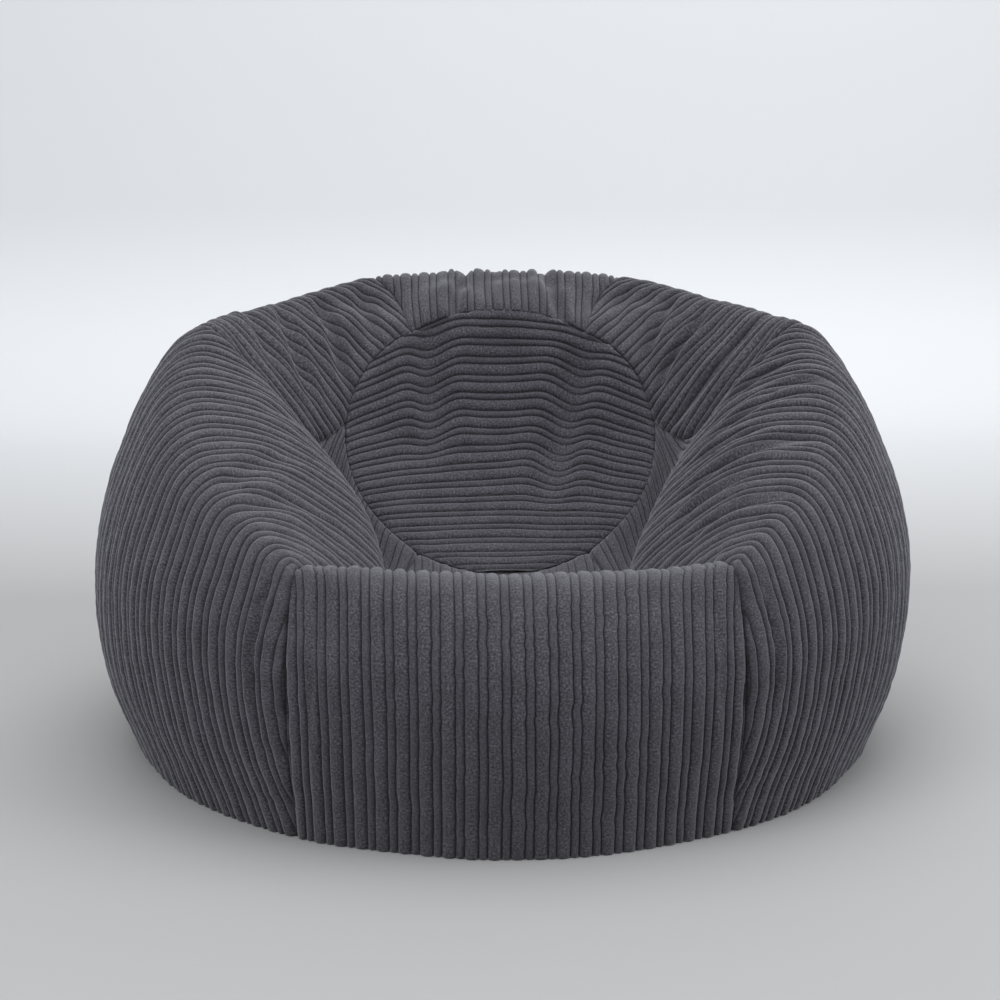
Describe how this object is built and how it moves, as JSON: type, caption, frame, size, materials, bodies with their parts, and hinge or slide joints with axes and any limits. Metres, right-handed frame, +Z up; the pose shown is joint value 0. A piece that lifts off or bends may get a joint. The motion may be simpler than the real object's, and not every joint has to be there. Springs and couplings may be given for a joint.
{
  "type": "bean bag chair",
  "caption": "Large round bean bag chair in dark grey wide-rib corduroy with a deep seat well, a zipped flat base and a zipped liner full of beads",
  "frame": {"origin": "middle of the flat base, on the floor plane", "axes": "+X to the right as seen from the front, +Y from the front to the back, +Z up"},
  "size_m": [1.0074, 0.9735, 0.5583],
  "materials": {
    "corduroy": "wide-rib corduroy pile, dark slate grey, matt",
    "seam_allowance": "turned-in corduroy edges, matt",
    "base_cloth": "plain woven base cloth, dark grey, matt",
    "zip_tape": "woven polyester tape, near black",
    "zip_coil": "nylon coil, near black",
    "zip_metal": "black lacquered zinc",
    "label_cloth": "blank white satin ribbon",
    "liner_cloth": "plain off-white nonwoven liner, matt",
    "liner_zip_tape": "woven polyester tape, white",
    "liner_zip_coil": "nylon coil, white",
    "liner_zip_metal": "white lacquered zinc",
    "polystyrene_beads": "white expanded polystyrene beads"
  },
  "bodies": {
    "bag": {"cover_front_panel": "corduroy", "cover_front_right_panel": "corduroy", "cover_back_right_panel": "corduroy", "cover_back_panel": "corduroy", "cover_back_left_panel": "corduroy", "cover_front_left_panel": "corduroy", "cover_seat_panel": "corduroy", "cover_seam_front_right": "seam_allowance", "cover_seam_side_right": "seam_allowance", "cover_seam_back_right": "seam_allowance", "cover_seam_back_left": "seam_allowance", "cover_seam_side_left": "seam_allowance", "cover_seam_front_left": "seam_allowance", "cover_seat_seam": "seam_allowance", "cover_base_seam": "seam_allowance", "cover_base_front": "base_cloth", "cover_base_back": "base_cloth", "cover_zip_end_tabs": "base_cloth", "cover_zip_tape_front": "zip_tape", "cover_zip_tape_back": "zip_tape", "cover_zip_coil_front": "zip_coil", "cover_zip_coil_back": "zip_coil", "cover_zip_stops": "zip_metal", "care_label": "label_cloth", "liner_front_wall": "liner_cloth", "liner_back_wall": "liner_cloth", "liner_seat_panel": "liner_cloth", "liner_base_front": "liner_cloth", "liner_base_back": "liner_cloth", "liner_zip_tape_front": "liner_zip_tape", "liner_zip_tape_back": "liner_zip_tape", "liner_zip_coil_front": "liner_zip_coil", "liner_zip_coil_back": "liner_zip_coil", "liner_zip_stops": "liner_zip_metal", "bead_fill": "polystyrene_beads"},
    "cover_slider": {"cover_zip_slider": "zip_metal"},
    "cover_pull": {"cover_zip_pull": "zip_metal"},
    "liner_slider": {"liner_zip_slider": "liner_zip_metal"}
  },
  "joints": [
    {"name": "cover_zip_slide", "type": "slide", "parent": "bag", "child": "cover_slider", "axis": [-1, 0, 0], "range_m": [0, 0.74]},
    {"name": "cover_pull_hinge", "type": "hinge", "parent": "cover_slider", "child": "cover_pull", "pos_m": [0.381, 0, 0.00155], "axis": [0, -1, 0], "range_deg": [0, 160]},
    {"name": "liner_zip_slide", "type": "slide", "parent": "bag", "child": "liner_slider", "axis": [-1, 0, 0], "range_m": [0, 0.45]}
  ]
}
